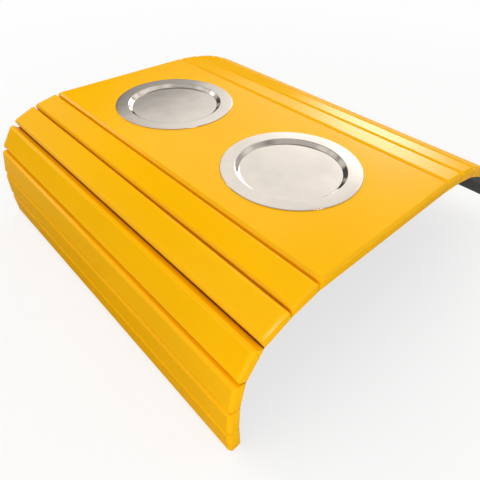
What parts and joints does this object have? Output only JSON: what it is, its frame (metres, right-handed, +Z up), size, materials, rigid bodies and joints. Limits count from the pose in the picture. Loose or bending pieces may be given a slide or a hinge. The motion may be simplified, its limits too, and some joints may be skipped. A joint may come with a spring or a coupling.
{
  "type": "sofa arm tray",
  "caption": "Flexible tray that drapes over a sofa arm: bevelled lacquered slats and a wide centre board on a thin folding backing, with round steel cup dishes sunk into it.",
  "frame": {"origin": "middle of the underside of the backing below the centre board, where the tray rests on the sofa arm", "axes": "+Z up, away from the arm; +Y along the boards and the sofa arm, from the front end to the rear end; +X across the arm, from the left slats to the right slats"},
  "size_m": [0.3064, 0.3, 0.1],
  "materials": {
    "yellow_lacquer": "gloss yellow lacquer over sealed fibreboard",
    "pressed_steel": "satin pressed stainless steel",
    "backing_cloth": "matt dark woven backing"
  },
  "bodies": {
    "centre": {"centre_board": "yellow_lacquer", "cup_dish_front": "pressed_steel", "cup_dish_rear": "pressed_steel", "backing_centre": "backing_cloth"},
    "left_1": {"slat_left_1": "yellow_lacquer", "backing_left_1": "backing_cloth"},
    "left_2": {"slat_left_2": "yellow_lacquer", "backing_left_2": "backing_cloth"},
    "left_3": {"slat_left_3": "yellow_lacquer", "backing_left_3": "backing_cloth"},
    "left_4": {"slat_left_4": "yellow_lacquer", "backing_left_4": "backing_cloth"},
    "left_5": {"slat_left_5": "yellow_lacquer", "backing_left_5": "backing_cloth"},
    "left_6": {"slat_left_6": "yellow_lacquer", "backing_left_6": "backing_cloth"},
    "right_1": {"slat_right_1": "yellow_lacquer", "backing_right_1": "backing_cloth"},
    "right_2": {"slat_right_2": "yellow_lacquer", "backing_right_2": "backing_cloth"},
    "right_3": {"slat_right_3": "yellow_lacquer", "backing_right_3": "backing_cloth"},
    "right_4": {"slat_right_4": "yellow_lacquer", "backing_right_4": "backing_cloth"},
    "right_5": {"slat_right_5": "yellow_lacquer", "backing_right_5": "backing_cloth"},
    "right_6": {"slat_right_6": "yellow_lacquer", "backing_right_6": "backing_cloth"}
  },
  "joints": [
    {"name": "left_fold_1", "type": "hinge", "parent": "centre", "child": "left_1", "pos_m": [-0.06665, 0, 0], "axis": [0, -1, 0], "range_deg": [-12.5, 32.5]},
    {"name": "left_fold_2", "type": "hinge", "parent": "left_1", "child": "left_2", "pos_m": [-0.08676, 0, -0.00446], "axis": [0, -1, 0], "range_deg": [-10, 35]},
    {"name": "left_fold_3", "type": "hinge", "parent": "left_2", "child": "left_3", "pos_m": [-0.10579, 0, -0.01234], "axis": [0, -1, 0], "range_deg": [-33.5, 11.5]},
    {"name": "left_fold_4", "type": "hinge", "parent": "left_3", "child": "left_4", "pos_m": [-0.11731, 0, -0.02942], "axis": [0, -1, 0], "range_deg": [-24, 21]},
    {"name": "left_fold_5", "type": "hinge", "parent": "left_4", "child": "left_5", "pos_m": [-0.12089, 0, -0.04971], "axis": [0, -1, 0], "range_deg": [-9, 36]},
    {"name": "left_fold_6", "type": "hinge", "parent": "left_5", "child": "left_6", "pos_m": [-0.12125, 0, -0.0703], "axis": [0, -1, 0], "range_deg": [-4.5, 40.5]},
    {"name": "right_fold_1", "type": "hinge", "parent": "centre", "child": "right_1", "pos_m": [0.06665, 0, 0], "axis": [0, 1, 0], "range_deg": [-5, 40]},
    {"name": "right_fold_2", "type": "hinge", "parent": "right_1", "child": "right_2", "pos_m": [0.08717, 0, -0.00179], "axis": [0, 1, 0], "range_deg": [-6.5, 38.5]},
    {"name": "right_fold_3", "type": "hinge", "parent": "right_2", "child": "right_3", "pos_m": [0.10736, 0, -0.0059], "axis": [0, 1, 0], "range_deg": [-10.5, 34.5]},
    {"name": "right_fold_4", "type": "hinge", "parent": "right_3", "child": "right_4", "pos_m": [0.12646, 0, -0.01362], "axis": [0, 1, 0], "range_deg": [-9, 36]},
    {"name": "right_fold_5", "type": "hinge", "parent": "right_4", "child": "right_5", "pos_m": [0.14412, 0, -0.02423], "axis": [0, 1, 0], "range_deg": [-11, 34]},
    {"name": "right_fold_6", "type": "hinge", "parent": "right_5", "child": "right_6", "pos_m": [0.15942, 0, -0.03801], "axis": [0, 1, 0], "range_deg": [-12, 33]}
  ]
}
